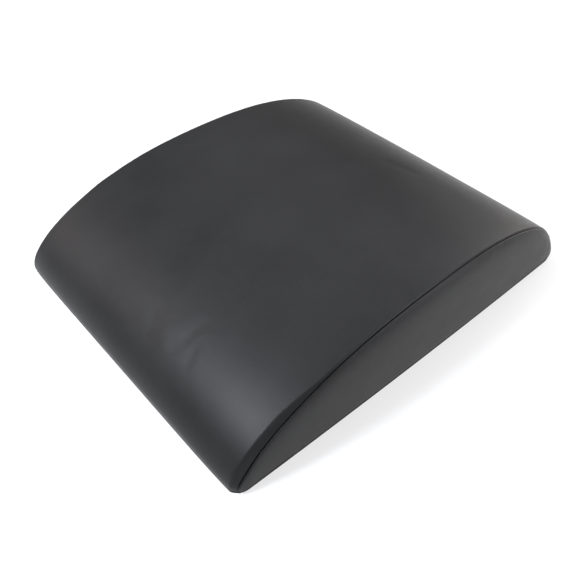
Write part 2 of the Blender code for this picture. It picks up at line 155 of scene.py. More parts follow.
# Zip, over the wall of the tall end
ZIP_RISE = 0.014
WINDOW_HALF = 0.005
TAPE_THICK = 0.0006
TAPE_HALF = 0.011
CHAIN_PART = 0.0006
COIL_WIDTH = 0.0024
COIL_THICK = 0.0022
CHAIN_END_MARGIN = 0.016
TOPSTITCH_MARGIN = 0.002
TAPE_FACE = -PANEL - CLEARANCE
TAPE_POINTS = 16
COIL_WIRE = 0.00032
COIL_POINTS = 12

GRAIN_CELL = 0.0011

# Unevenness of the covers: heights of the soft swells and lumps, and the distance from the seam over
# which they set in
TOP_SWELL = 0.00022
TOP_LUMP = 0.00007
TOP_CALM = 0.020
SIDE_SWELL = 0.00018
# Gathers: their reach from the seam, where those at the tall end set in and over what share of the
# length, and their height at both places as a share of the pucker
TOP_GATHERS = 0.0075
SIDE_GATHERS = 0.009
TAIL_GATHERS = (0.86, 0.12)
SEAM_PUCKER_SHARE = 0.8
TAIL_PUCKER_SHARE = 2.4
# Shift of the noise from one seed to the next
NOISE_SHIFTS = (7.31, 3.17, 1.73)
TINY = 1e-12

# Cloth simulation of the filled cover: cells along and across, frames, the share of its swelling that
# is kept, how often that is evened out along the mat, and its limit
FILL_CELLS = (90, 60)
FILL_FRAMES = 20
FILL_SHARE = 0.16
FILL_EASING = 60
FILL_CAP = 0.0012

# Handling marks: both ends by distance along the profile and across, radius and height
DENTS = (
    ((0.062, -0.007), (0.060, -0.010), 0.0060, -0.00044),
    ((0.053, -0.015), (0.044, -0.021), 0.0050, -0.00038),
    ((0.059, -0.030), (0.050, -0.036), 0.0060, 0.00028),
    ((0.079, -0.049), (0.063, -0.048), 0.0045, -0.00044),
    ((0.066, -0.057), (0.052, -0.063), 0.0032, -0.00028),
    ((0.179, 0.132), (0.209, 0.120), 0.0040, 0.00038),
    ((0.168, 0.124), (0.200, 0.112), 0.0050, -0.00032),
    ((0.280, 0.001), (0.231, -0.046), 0.0040, 0.00028),
    ((0.276, 0.020), (0.262, -0.004), 0.0045, 0.00020),
    ((0.262, -0.040), (0.246, -0.074), 0.0060, 0.00026),
    ((0.318, -0.010), (0.326, -0.036), 0.0060, -0.00026),
    ((0.044, -0.004), (0.036, -0.020), 0.0070, -0.00026),
)
LABEL = "Ab mat"


class MatSizes(bpy.types.PropertyGroup):
    """Sizes of the mat and of its sewing."""

    length: FloatProperty(
        name="Length", description="Front base edge to rear base edge", default=0.380, unit="LENGTH"
    )
    width: FloatProperty(
        name="Width", description="Across the corners at the floor", default=0.298, unit="LENGTH"
    )
    height: FloatProperty(name="Height", description="Floor to crown", default=0.076, unit="LENGTH")
    nose_roll: FloatProperty(
        name="Nose roll",
        description="Width of the roll along the side seam at the nose",
        default=0.0052,
        unit="LENGTH",
    )
    nose_drop: FloatProperty(
        name="Nose drop",
        description="Depth of that roll at the nose",
        default=0.0064,
        unit="LENGTH",
    )
    tail_roll: FloatProperty(
        name="Tail roll",
        description="Width of the roll at the tall end",
        default=0.0014,
        unit="LENGTH",
    )
    tail_drop: FloatProperty(
        name="Tail drop",
        description="Depth of that roll at the tall end",
        default=0.0016,
        unit="LENGTH",
    )
    nose_draw: FloatProperty(
        name="Nose draw",
        description="How far the seam is drawn in at the nose",
        default=0.0023,
        unit="LENGTH",
    )
    tail_draw: FloatProperty(
        name="Tail draw",
        description="How far the seam is drawn in at the tall end",
        default=0.0061,
        unit="LENGTH",
    )
    side_bow: FloatProperty(
        name="Side bow",
        description="Bow of the side's base edge in plan",
        default=0.0018,
        unit="LENGTH",
    )
    side_bulge: FloatProperty(
        name="Side bulge",
        description="Swell of the side between its seams",
        default=0.0004,
        unit="LENGTH",
    )
    pucker: FloatProperty(
        name="Pucker",
        description="Height of the gathers beside a seam",
        default=0.00012,
        unit="LENGTH",
    )
    stitch: FloatProperty(
        name="Stitch",
        description="Length of one stitch and the gap after it",
        default=0.0032,
        unit="LENGTH",
    )
    coil_pitch: FloatProperty(
        name="Coil pitch", description="One turn of the zip's coil", default=0.0014, unit="LENGTH"
    )


class MatColours(bpy.types.PropertyGroup):
    """Colours of the mat's finishes."""

    leatherette: FloatVectorProperty(
        name="Leatherette",
        description="Cover",
        default=(0.021, 0.021, 0.0215),
        subtype="COLOR",
        min=0,
        max=1,
    )
    base: FloatVectorProperty(
        name="Base",
        description="Underside",
        default=(0.024, 0.024, 0.025),
        subtype="COLOR",
        min=0,
        max=1,
    )
    foam: FloatVectorProperty(
        name="Foam", description="Core", default=(0.30, 0.30, 0.31), subtype="COLOR", min=0, max=1
    )
    thread: FloatVectorProperty(
        name="Thread",
        description="Stitches",
        default=(0.018, 0.018, 0.020),
        subtype="COLOR",
        min=0,
        max=1,
    )
    tape: FloatVectorProperty(
        name="Tape",
        description="Zip tapes",
        default=(0.016, 0.016, 0.018),
        subtype="COLOR",
        min=0,
        max=1,
    )
    coil: FloatVectorProperty(
        name="Coil",
        description="Nylon coil",
        default=(0.028, 0.028, 0.030),
        subtype="COLOR",
        min=0,
        max=1,
    )
    paint: FloatVectorProperty(
        name="Paint",
        description="Slider, pull and stops",
        default=(0.045, 0.045, 0.048),
        subtype="COLOR",
        min=0,
        max=1,
    )
    floor: FloatVectorProperty(
        name="Floor",
        description="Studio floor",
        default=(0.42, 0.42, 0.42),
        subtype="COLOR",
        min=0,
        max=1,
    )


class Wire:
    """A node's output, or a number, whose arithmetic adds Math nodes."""

    def __init__(self, nodes, source):
        self.nodes = nodes
        self.source = source

    def maths(self, operation, *values):
        return self.nodes.add("ShaderNodeMath", {"operation": operation}, dict(enumerate(values)))

    def __add__(self, other):
        return self.maths("ADD", self, other)

    def __radd__(self, other):
        return self.maths("ADD", other, self)

    def __sub__(self, other):
        return self.maths("SUBTRACT", self, other)

    def __rsub__(self, other):
        return self.maths("SUBTRACT", other, self)

    def __mul__(self, other):
        return self.maths("MULTIPLY", self, other)

    def __rmul__(self, other):
        return self.maths("MULTIPLY", other, self)

    def larger(self, other):
        return self.maths("MAXIMUM", self, other)

    def within(self, low, high):
        """0 up to low, 1 from high on, and a smooth step between them."""
        settings = {"interpolation_type": "SMOOTHSTEP"}
        values = {"Value": self, "From Min": low, "From Max": high}
        return self.nodes.add("ShaderNodeMapRange", settings, values)


class Finish:
    """One material and the nodes in it."""

    def __init__(self, name, roughness, **constants):
        self.material = bpy.data.materials.new(name)
        self.material.use_nodes = True
        self.tree = self.material.node_tree
        self.surface = self.tree.nodes["Principled BSDF"]
        self.surface.inputs["Roughness"].default_value = roughness
        for socket, value in constants.items():
            self.surface.inputs[socket.replace("_", " ")].default_value = value

    def link(self, value, socket):
        if isinstance(value, Wire):
            self.tree.links.new(value.source, socket)
        elif hasattr(socket.default_value, "__len__") and len(socket.default_value) == 4:
            socket.default_value = (*tuple(value)[:3], 1)
        else:
            socket.default_value = value

    def add(self, kind, settings=None, values=None, output=0):
        """A node of this kind: its settings first, then the values or links of its sockets."""
        node = self.tree.nodes.new(kind)
        for key, value in (settings or {}).items():
            setattr(node, key, value)
        for key, value in (values or {}).items():
            self.link(value, node.inputs[key])
        return Wire(self, node.outputs[output])

    def blend(self, share, first, second):
        """A colour between two others, through the Mix node's sockets for a factor and for colours."""
        return self.add("ShaderNodeMix", {"data_type": "RGBA"}, {0: share, 6: first, 7: second}, output=2)

    def place(self, stretch=(1, 1, 1)):
        """Position in the piece's own axes, stretched."""
        spot = self.add("ShaderNodeTexCoord", output="Object")
        return self.add("ShaderNodeVectorMath", {"operation": "MULTIPLY"}, {0: spot, 1: stretch})

    def patches(self, size, detail=2.0, stretch=(1, 1, 1)):
        """Soft noise whose lumps are about this size."""
        values = {"Vector": self.place(stretch), "Scale": 1 / size, "Detail": detail}
        return self.add("ShaderNodeTexNoise", None, values)

    def cells(self, size, feature="F1"):
        """Cells of about this size."""
        values = {"Vector": self.place(), "Scale": 1 / size}
        return self.add("ShaderNodeTexVoronoi", {"feature": feature}, values)

    def bands(self, direction, size, **values):
        """Soft stripes of about this width."""
        settings = {"wave_type": "BANDS", "bands_direction": direction}
        values = {"Vector": self.place(), "Scale": 1 / size, **values}
        return self.add("ShaderNodeTexWave", settings, values)

    def lift(self, height, depth):
        """Feeds the surface's normal from a height of this depth."""
        values = {"Height": height, "Distance": depth, "Strength": 1}
        self.link(self.add("ShaderNodeBump", None, values), self.surface.inputs["Normal"])

    def feed(self, socket, value):
        self.link(value, self.surface.inputs[socket])


def shaded(colour, share):
    """The colour made lighter or darker by a share."""
    return tuple(min(part * share, 1) for part in colour)


def leatherette(name, colour, roughness, depth):
    """Coated fabric with a fine pebbled grain, a soft sheen, faint handling marks, and painted shade in
    the grain's creases.
    """
    coat = Finish(name, roughness, IOR=1.15, Specular_IOR_Level=1.0)
    cloud = coat.patches(0.055, 3.0)
    fine = coat.patches(0.0045, 4.0)
    crease = coat.cells(GRAIN_CELL, "DISTANCE_TO_EDGE")
    pebble = crease.within(0.0, 0.22)
    rub = coat.patches(0.018, 5.0, (1.0, 2.6, 1.0)).within(0.46, 0.72)
    worn = coat.blend(cloud.within(0.30, 0.70), shaded(colour, 0.90), shaded(colour, 1.10))
    # Painted shade: the colour is darker in the grain's creases; rubbed patches darken it a little too,
    # which is wear.
    tone = coat.blend((1 - pebble) * 0.35 + rub * 0.04, worn, shaded(colour, 0.62))
    coat.feed("Base Color", tone)
    coat.feed("Roughness", roughness + (cloud - 0.5) * 0.10 + (fine - 0.5) * 0.06 - rub * 0.03)
    coat.lift(pebble * 0.72 + fine * 0.28, depth)
    return coat.material


def foam_finish(colour):
    """Moulded closed-cell foam with a fine open skin, and painted shade in the pits of its bubbles."""
    foam = Finish("moulded_foam", 0.92)
    bubble = foam.cells(0.0014)
    cloud = foam.patches(0.03)
    # Painted shade: half of this makes the colour darker towards the middle of each bubble, where the skin
    # dips; the other half is random tone.
    uneven = cloud * 0.5 + bubble * 0.5
    foam.feed("Base Color", foam.blend(uneven, shaded(colour, 0.78), shaded(colour, 1.12)))
    foam.feed("Roughness", 0.88 + cloud * 0.10)
    foam.lift(bubble, 0.0003)
    return foam.material


def thread_finish(colour):
    """Twisted polyester thread, with painted light on the ridges of its twist and painted shade in the
    grooves between them.
    """
    thread = Finish("twisted_thread", 0.62, Sheen_Weight=0.15)
    strand = thread.bands("DIAGONAL", size=0.0042, Distortion=0.4)
    # Painted light and shade: the colour is lighter on the twist's ridges and darker in the grooves,
    # following the same bands as the bump.
    thread.feed("Base Color", thread.blend(strand, shaded(colour, 0.6), shaded(colour, 1.7)))
    thread.feed("Roughness", 0.54 + strand * 0.16)
    thread.lift(strand, 0.00008)
    return thread.material


def tape_finish(colour):
    """Woven tape: fine ribs across and finer ones along, with painted light on their tops and painted
    shade between them.
    """
    tape = Finish("woven_tape", 0.80, Sheen_Weight=0.25)
    across = tape.bands("Y", size=0.0030, Distortion=0.6, Detail=1.0)
    along = tape.bands("Z", size=0.0052, Distortion=0.6, Detail=1.0)
    weave = across * 0.6 + along * 0.4
    # Painted light and shade: the colour is lighter on the ribs' tops and darker between them, following
    # the same ribs as the bump.
    tape.feed("Base Color", tape.blend(weave, shaded(colour, 0.55), shaded(colour, 1.7)))
    tape.feed("Roughness", 0.72 + weave * 0.16)
    tape.lift(weave, 0.00012)
    return tape.material


def coil_finish(colour):
    """Dyed nylon monofilament."""
    coil = Finish("nylon_coil", 0.38)
    cloud = coil.patches(0.004)
    coil.feed("Base Color", coil.blend(cloud, shaded(colour, 0.8), shaded(colour, 1.25)))
    coil.feed("Roughness", 0.30 + cloud * 0.16)
    coil.lift(cloud, 0.00003)
    return coil.material


def paint_finish(colour):
    """Black enamel on zinc, rubbed through along its edges."""
    paint = Finish("black_enamel", 0.34)
    bevel = paint.add("ShaderNodeNewGeometry", output="Pointiness")
    edge = bevel.within(0.56, 0.70)
    speck = paint.patches(0.0012, 4.0)
    worn = (edge * (speck.within(0.40, 0.60) * 0.8 + 0.2)).within(0.25, 0.75)
    paint.feed("Base Color", paint.blend(worn * 0.5, colour, (0.30, 0.29, 0.28)))
    paint.feed("Metallic", worn * 0.9)
    paint.feed("Roughness", 0.30 + speck * 0.12)
    paint.lift(speck, 0.00003)
    return paint.material


def floor_finish(colour):
    """Matt studio sweep that reads as white to the camera and keeps the mat's shadow."""
    floor = Finish("studio_floor", 0.9, Specular_IOR_Level=0.1, Emission_Strength=1)
    floor.feed("Base Color", colour)
    seen, mirrored, through = (
        floor.add("ShaderNodeLightPath", output=ray)
        for ray in ("Is Camera Ray", "Is Glossy Ray", "Is Transmission Ray")
    )
    seen = seen.larger(mirrored).larger(through)
    floor.feed("Emission Color", floor.blend(seen, (0, 0, 0), FLOOR_GLOW))
    return floor.material


def ease(value):
    """Smooth step from 0 to 1, on numbers or arrays."""
    value = np.clip(value, 0, 1)
    return value * value * (3 - 2 * value)


class Form:
    """The cover's outer surface, read by distance along the side profile."""

    def __init__(self, sizes):
        self.sizes = sizes
        knots = [Vector((a * sizes.length, b * sizes.height)) for a, b in PROFILE_SHARES]
        front = interpolate_bezier(*knots[0:4], PROFILE_STEPS)
        rear = interpolate_bezier(*knots[3:7], PROFILE_STEPS)
        points = np.array([tuple(p) for p in front + rear[1:]])
        self.px, self.pz = points.T
        steps = np.hypot(np.diff(self.px), np.diff(self.pz))
        self.along = np.concatenate(([0], np.cumsum(steps)))
        self.whole = float(self.along[-1])
        self.slope = np.unwrap(np.arctan2(np.gradient(self.pz), np.gradient(self.px)))
        self.zip_at = self.whole - ZIP_RISE
        self.tail_half = float(self.seam_half(self.whole))

    def x(self, s):
        return np.interp(s, self.along, self.px)

    def z(self, s):
        return np.interp(s, self.along, self.pz)

    def tangent(self, s):
        angle = np.interp(s, self.along, self.slope)
        return np.cos(angle), np.sin(angle)

    def normal(self, s):
        cos, sin = self.tangent(s)
        return -sin, cos

    def reach(self, height, front):
        """Distance along the profile at which its front or rear stands at this height."""
        crown = int(np.argmax(self.pz))
        if front:
            return float(np.interp(height, self.pz[:crown], self.along[:crown]))
        return float(np.interp(-height, -self.pz[crown:], self.along[crown:]))

    def fade(self, s, shares):
        """1 up to the first share of the length, 0 from the second on."""
        first, last = shares
        return 1 - ease((self.x(s) / self.sizes.length - first) / (last - first))

    def roll(self, s):
        """Width and depth of the roll beside the seam."""
        size = self.sizes
        across = size.tail_roll + (size.nose_roll - size.tail_roll) * self.fade(s, ROLL_NARROWS)
        down = size.tail_drop + (size.nose_drop - size.tail_drop) * self.fade(s, ROLL_RISES)
        down = down - ROLL_FOOT[0] * np.exp(-((s / ROLL_FOOT[1]) ** 2))
        down = down + ROLL_HOLLOW[0] * np.exp(-(((s - ROLL_HOLLOW[1]) / ROLL_HOLLOW[2]) ** 2))
        return across, down

    def rolled(self, s, pull, flat, side, deeper=0.0):
        """Points of the sheet beside and between the seams, and their distance from the middle."""
        across, down = self.roll(s)
        dx, dz = self.inward(s)
        half = (self.seam_half(s) - across + across * pull) * (1 - flat)
        bend = (np.hypot(CREST, pull) - CREST) / (math.hypot(CREST, 1) - CREST)
        share, reach = SHOULDER
        bend = bend * (1 - share) + share * np.exp((half - self.seam_half(s)) / reach)
        drop = down * bend + deeper
        points = np.broadcast_arrays(self.x(s) + dx * drop, side * half, self.z(s) + dz * drop)
        return np.stack(points, 2), half

    def seam_half(self, s):
        size = self.sizes
        share = np.clip(self.x(s) / size.length, 0, 1)
        return size.width / 2 - size.nose_draw - (size.tail_draw - size.nose_draw) * share

    def inward(self, s):
        """Direction in which the roll turns: square to the crown, level at the floor."""
        nx, nz = self.normal(s)
        level = ease(self.z(s) / (self.roll(s)[1] * ROLL_SQUARE))
        dx, dz = -nx, -nz * level
        span = np.hypot(dx, dz)
        return dx / span, dz / span

    def seam(self, s):
        """Where the side seam runs, in X and Z."""
        (dx, dz), down = self.inward(s), self.roll(s)[1]
        return self.x(s) + dx * down, self.z(s) + dz * down

    def base_half(self, x):
        """Half the base's width: bowed along the side and rounded off at both ends."""
        size = self.sizes
        share = x / size.length
        half = size.width / 2 + size.side_bow * 4 * share * (1 - share)
        from_tail = size.length - size.tail_drop - x
        for (long, deep), from_end in ((TAIL_CORNER, from_tail), (NOSE_CORNER, x)):
            turn = np.clip(1 - from_end / long, 0, 1)
            half = half - deep * turn ** 2
        return half

    def spread(self, start, end, count):
        """Distances between two others, closer together where the profile bends."""
        step = np.linspace(0, 1, len(self.along))
        first, last = np.interp((start, end), self.along, step)
        even = np.linspace(start, end, count + 1)
        bent = np.interp(np.linspace(first, last, count + 1), step, self.along)
        return (even + bent) / 2


def cross_rows():
    """Rows of the sheet from seam to seam: the pull of the seam, the way to the middle, and the side."""
    pull = np.array([1, 0.94, 0.87, 0.79, 0.71, 0.63, 0.55, 0.47, 0.39, 0.32, 0.25, 0.18, 0.12, 0.06, 0])
    flat = np.concatenate(([0.012, 0.030, 0.052], np.linspace(0.075, 1, 42)))
    pull = np.concatenate((pull, np.zeros(len(flat))))
    flat = np.concatenate((np.zeros(len(pull) - len(flat)), flat))
    side = np.concatenate((-np.ones(len(pull)), np.ones(len(pull) - 1)))
    pull, flat = (np.concatenate((row, row[-2::-1])) for row in (pull, flat))
    return pull[None, :], flat[None, :], side[None, :]


def grain_noise(points, size, seed, stretch=(1, 1, 1)):
    """Smooth noise of about -1 to 1 over a grid of points, with lumps of this size."""
    offset = Vector([seed * shift for shift in NOISE_SHIFTS])
    spots = (points * stretch).reshape(-1, 3)
    heights = np.array([noise.noise(Vector(p) / size + offset) for p in spots])
    return heights.reshape(points.shape[:2])


def face_normals(points):
    """Outward-turned unit normals of a grid of points."""
    along = np.gradient(points, axis=0)
    across = np.gradient(points, axis=1)
    normal = np.cross(along, across)
    return normal / np.maximum(np.linalg.norm(normal, axis=2, keepdims=True), TINY)


def own_piece(name, data, material):
    """A piece of the cover, with its finish."""
    piece = bpy.data.objects.new(name, data)
    bpy.context.scene.collection.objects.link(piece)
    data.materials.append(material)
    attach(piece, "cover")
    return piece


def grid_mesh(name, points, flip=False):
    """A mesh over a grid of points, which are measured from the front base edge."""
    columns, rows = points.shape[0] - 1, points.shape[1] - 1
    work = bmesh.new()
    bmesh.ops.create_grid(work, x_segments=columns, y_segments=rows, size=1)
    for vertex in work.verts:
        column = round((vertex.co.x + 1) / 2 * columns)
        row = round((vertex.co.y + 1) / 2 * rows)
        vertex.co = points[column, row]
        vertex.co.x += FRONT_EDGE
    if flip:
        bmesh.ops.reverse_faces(work, faces=work.faces)
    mesh = bpy.data.meshes.new(name)
    work.to_mesh(mesh)
    work.free()
    mesh.shade_smooth()
    return mesh


def thicken(piece, thickness, rim):
    """Gives a face its sheet's thickness and eases the cut rim."""
    solid = piece.modifiers.new("Sheet", "SOLIDIFY")
    solid.thickness = thickness
    solid.offset = -1
    bevel = piece.modifiers.new("Rim", "BEVEL")
    bevel.width = rim
    bevel.segments = 2
    bevel.limit_method = "ANGLE"
    bevel.angle_limit = math.radians(60)
    bevel.harden_normals = True


def stitched_line(name, points, pitch, radius, material):
    """Lock-stitches along a line: each rises in its middle and dives into the cover at its ends."""
    path = np.array(points, float)
    steps = np.linalg.norm(np.diff(path, axis=0), axis=1)
    along = np.concatenate(([0], np.cumsum(steps)))
    work = bmesh.new()
    for stitch in range(int(along[-1] / pitch)):
        start = stitch * pitch + pitch * STITCH_START
        loops = []
        for ring in range(STITCH_RINGS):
            share = ring / (STITCH_RINGS - 1)
            at = start + share * pitch * STITCH_SPAN
            centre = np.array([np.interp(at, along, path[:, k]) for k in range(3)])
            ahead = np.array([np.interp(at + pitch / 8, along, path[:, k]) for k in range(3)]) - centre
            ahead = Vector(ahead).normalized()
            side = ahead.orthogonal().normalized()
            up = ahead.cross(side)
            swell = math.sin(math.pi * (WAVE_START + WAVE_SPAN * share))
            girth = radius * (STITCH_THIN + (1 - STITCH_THIN) * swell)
            loop = []
            for k in range(STITCH_SIDES):
                turn = 2 * math.pi * k / STITCH_SIDES
                spot = Vector(centre) + (side * math.cos(turn) + up * math.sin(turn)) * girth
                loop.append(work.verts.new(spot))
            loops.append(loop)
        for first, second in zip(loops, loops[1:]):
            for k in range(STITCH_SIDES):
                after = (k + 1) % STITCH_SIDES
                work.faces.new((first[k], first[after], second[after], second[k]))
        work.faces.new(reversed(loops[0]))
        work.faces.new(loops[-1])
    bmesh.ops.recalc_face_normals(work, faces=work.faces)
    bmesh.ops.translate(work, vec=(FRONT_EDGE, 0, 0), verts=work.verts)
    mesh = bpy.data.meshes.new(name)
    work.to_mesh(mesh)
    work.free()
    mesh.shade_smooth()
    return own_piece(name, mesh, material)


def fill_heights(form, s, y):
    """How far the filled cover stands off its profile: cloth simulated between its seams."""
    rows = np.linspace(form.reach(FLOOR, True), form.zip_at - WINDOW_HALF, FILL_CELLS[0] + 1)
    shares = np.linspace(1, -1, FILL_CELLS[1] + 1)
    along = rows[:, None]
    crest = form.seam_half(along) - form.roll(along)[0]
    points = np.stack(np.broadcast_arrays(form.x(along), shares * crest, form.z(along)), 2)
    mesh = grid_mesh("fill", points)
    sheet = bpy.data.objects.new("fill", mesh)
    scene = bpy.context.scene
    scene.collection.objects.link(sheet)
    start = sheet_grid(mesh)
    index = np.arange(len(mesh.vertices)).reshape(FILL_CELLS[1] + 1, FILL_CELLS[0] + 1).T
    sewn = np.unique(np.concatenate((index[0], index[-1], index[:, 0], index[:, -1])))
    sheet.vertex_groups.new(name="sewn").add(sewn.tolist(), 1, "REPLACE")
    cloth = sheet.modifiers.new("Cloth", "CLOTH")
    cloth.point_cache.frame_end = FILL_FRAMES
    settings = cloth.settings
    settings.vertex_group_mass = "sewn"
    settings.use_pressure = True
    settings.uniform_pressure_force = 4
    settings.effector_weights.gravity = 0
    settings.quality = 6
    for frame_number in range(1, FILL_FRAMES + 1):
        scene.frame_set(frame_number)
    filled = sheet.evaluated_get(bpy.context.evaluated_depsgraph_get())
    end = sheet_grid(filled.to_mesh())
    filled.to_mesh_clear()
    bpy.data.objects.remove(sheet)
    bpy.data.meshes.remove(mesh)
    scene.frame_set(1)
    height = ((end - start) * face_normals(start)).sum(2)
    for _ in range(FILL_EASING):
        height[1:-1] = (height[:-2] + 2 * height[1:-1] + height[2:]) / 4
    height = np.clip(height * FILL_SHARE, -FILL_CAP, FILL_CAP)
    share = np.clip(y / (form.seam_half(s) - form.roll(s)[0]), -1, 1)
    return grid_value(height, (s - rows[0]) / (rows[-1] - rows[0]), (1 - share) / 2)


def sheet_grid(mesh):
    """The simulated sheet's points by row along the profile and column across."""
    places = np.empty(len(mesh.vertices) * 3)
    mesh.vertices.foreach_get("co", places)
    return places.reshape(FILL_CELLS[1] + 1, FILL_CELLS[0] + 1, 3).transpose(1, 0, 2)


def grid_value(grid, first, second):
    """The grid's value at these shares of its two sides."""
    rows, columns = grid.shape[0] - 1, grid.shape[1] - 1
    a, b = np.broadcast_arrays(np.clip(first, 0, 1) * rows, np.clip(second, 0, 1) * columns)
    i, j = np.minimum(a.astype(int), rows - 1), np.minimum(b.astype(int), columns - 1)
    a, b = a - i, b - j
    upper = grid[i, j] * (1 - b) + grid[i, j + 1] * b
    lower = grid[i + 1, j] * (1 - b) + grid[i + 1, j + 1] * b
    return upper * (1 - a) + lower * a


def dent_heights(s, y):
    """Shallow marks that handling left in the cover."""
    height = np.zeros(np.broadcast(s, y).shape)
    for (s0, y0), (s1, y1), radius, depth in DENTS:
        run = max(math.hypot(s1 - s0, y1 - y0), TINY)
        u, v = (s1 - s0) / run, (y1 - y0) / run
        beside = np.abs((y - y0) * u - (s - s0) * v)
        beyond = np.maximum(np.abs((s - (s0 + s1) / 2) * u + (y - (y0 + y1) / 2) * v) - run / 2, 0)
        height += depth * np.exp(-((np.hypot(beside, beyond) / radius) ** 2))
    return height


def finish_of(name):
    """The material of this name, from the operator that makes the finishes."""
    return bpy.data.materials[name]


class ABMAT_OT_finishes(bpy.types.Operator):
    """Make the mat's materials and give the carried-over pieces theirs"""

    bl_idname = "abmat.finishes"
    bl_label = "Finishes"

    def execute(self, context):
        colour = context.scene.abmat_colours
        leatherette("grained_cover", colour.leatherette, 0.37, 0.00004)
        leatherette("grained_base", colour.base, 0.62, 0.00012)
        foam_finish(colour.foam)
        thread = thread_finish(colour.thread)
        tape_finish(colour.tape)
        coil_finish(colour.coil)
        paint = paint_finish(colour.paint)
        for name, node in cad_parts.items():
            if name.startswith("base_thread"):
                node.data.materials[0] = thread
            if name in ("zip_slider", "zip_pull", "zip_bottom_stop") or name.startswith("zip_top_stop"):
                node.data.materials[0] = paint
        return {"FINISHED"}


class ABMAT_OT_top_cover(bpy.types.Operator):
    """Make the sheet over the crown, rolled down to both side seams"""

    bl_idname = "abmat.top_cover"
    bl_label = "Top cover"

    def execute(self, context):
        sizes = context.scene.abmat_sizes
        form = Form(sizes)
        s = form.spread(form.reach(FLOOR, True), form.zip_at - WINDOW_HALF, TOP_COLUMNS)[:, None]
        pull, flat, side = (np.concatenate((row[:, :1], row, row[:, -1:]), 1) for row in cross_rows())
        under = np.zeros(pull.shape)
        under[:, [0, -1]] = SEAM_ALLOWANCE
        points, half = form.rolled(s, pull, flat, side, under)
        points[..., 2] = np.maximum(points[..., 2], FLOOR)
        from_seam = form.seam_half(s) - half
        height = self.relief(points, s, from_seam, under, form)
        points += face_normals(points) * height[..., None]
        points[..., 2] = np.maximum(points[..., 2], FLOOR)
        mesh = grid_mesh("top_cover", points)
        cover = own_piece("top_cover", mesh, finish_of("grained_cover"))
        thicken(cover, PANEL, rim=0.0004)
        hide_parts("top_panel")
        return {"FINISHED"}

    def relief(self, points, s, from_seam, under, form):
        """Height of the cover's unevenness: fill, soft swells, handling dents and gathers at the seams."""
        swell = grain_noise(points, size=0.075, seed=1, stretch=(1, 1, 0.4))
        lump = grain_noise(points, size=0.026, seed=7, stretch=(1, 1, 0.4))
        ripple = grain_noise(points, size=0.0085, seed=2, stretch=(1, 0.25, 1))
        near = np.exp(-((from_seam / TOP_GATHERS) ** 2))
        inner = ease(from_seam / TOP_CALM)
        held = np.where(under > 0, 0.0, 1.0)
        full = fill_heights(form, s, points[..., 1])
        marks = dent_heights(s, points[..., 1])
        soft = swell * TOP_SWELL + lump * TOP_LUMP + marks
        return (full + soft * inner + ripple * form.sizes.pucker * near) * held


class ABMAT_OT_side_covers(bpy.types.Operator):
    """Make the two side crescents, curled in and folded over at the seam"""

    bl_idname = "abmat.side_covers"
    bl_label = "Side covers"

    def execute(self, context):
        sizes = context.scene.abmat_sizes
        form = Form(sizes)
        tip = FLOOR + SIDE_TIP
        s = form.spread(form.reach(tip, True), form.reach(tip, False), SIDE_COLUMNS)[:, None]
        seam_x, seam_z = form.seam(s)
        for name, side, seed in (("side_cover_left", 1, 5), ("side_cover_right", -1, 6)):
            height = np.maximum(seam_z - FLOOR, SIDE_LEAST)
            scale = np.minimum(1, height * LIP_ROWS_SHARE / LIP_ROWS[0])
            upper = 1 - LIP_ROWS[None, :] * scale / height
            lower = upper[:, :1] * np.linspace(0, 1, SIDE_ROWS)[None, :-1]
            rise = np.concatenate((lower, upper), 1)
            below = (1 - rise) * height
            foot = seam_x + SIDE_LEAN * height * (1 - 2 * seam_x / sizes.length)
            x = foot + (seam_x - foot) * rise
            top_half = form.seam_half(s) + SEAM_ROOM + LIP_OVER
            foot_half = form.base_half(x)
            bulge = sizes.side_bulge * np.sin(math.pi * rise) * ease(height / (sizes.height / 2))
            curl = LIP_SHARE * np.exp(-below / LIP_CURL) * rise + (1 - LIP_SHARE) * rise ** LIP_POWER
            y = foot_half + (top_half - foot_half) * curl + bulge
            z = FLOOR + height * rise
            face = np.stack((x, side * y, z), 2)
            relief = self.relief(face, x, rise, height, sizes, seed)
            face += face_normals(face) * -side * relief[..., None]
            lip_turn = np.radians(FOLD_TURNS)[None, :]
            lip = np.minimum(FOLD_RADIUS, height * FOLD_SHARE)
            squeeze = 1 - lip / height
            face[..., 2] = FLOOR + (face[..., 2] - FLOOR) * squeeze
            lip_y = top_half - lip * (1 - np.cos(lip_turn)) + (face[:, -1:, 1] * side - top_half)
            lip_z = face[:, -1:, 2] + lip * np.sin(lip_turn)
            lip_x = np.broadcast_to(face[:, -1:, 0], lip_y.shape)
            fold = np.stack((lip_x, side * lip_y, lip_z), 2)[:, 1:]
            hem_turn = np.radians(HEM_TURNS)[None, :]
            hem = np.minimum(HEM_RADIUS, height * HEM_SHARE)
            hem_y = face[:, :1, 1] * side - hem * (1 - np.cos(hem_turn))
            hem_z = FLOOR + hem * (1 - np.sin(hem_turn))
            hem_x = np.broadcast_to(face[:, :1, 0], hem_y.shape)
            under = np.stack((hem_x, side * hem_y, hem_z), 2)
            face[:, :1, 2] = FLOOR + hem
            points = np.concatenate((under, face, fold), 1)
            mesh = grid_mesh(name, points, side > 0)
            cover = own_piece(name, mesh, finish_of("grained_cover"))
            thicken(cover, SIDE_PANEL, rim=0.0002)
            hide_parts(name.replace("cover", "panel"))
        return {"FINISHED"}

    def relief(self, face, x, rise, height, sizes, seed):
        """Soft swells, and upright gathers that are deeper at the tall end and beside the seam."""
        swell = grain_noise(face, size=0.045, seed=seed)
        ripple = grain_noise(face, size=0.0048, seed=seed + 3, stretch=(1, 1, 0.12))
        start, span = TAIL_GATHERS
        tail = ease((x / sizes.length - start) / span)
        near = np.exp(-(((1 - rise) * height / SIDE_GATHERS) ** 2))
        gathers = sizes.pucker * (near * SEAM_PUCKER_SHARE + tail * TAIL_PUCKER_SHARE)
        return swell * SIDE_SWELL * np.sin(math.pi * rise) + ripple * gathers


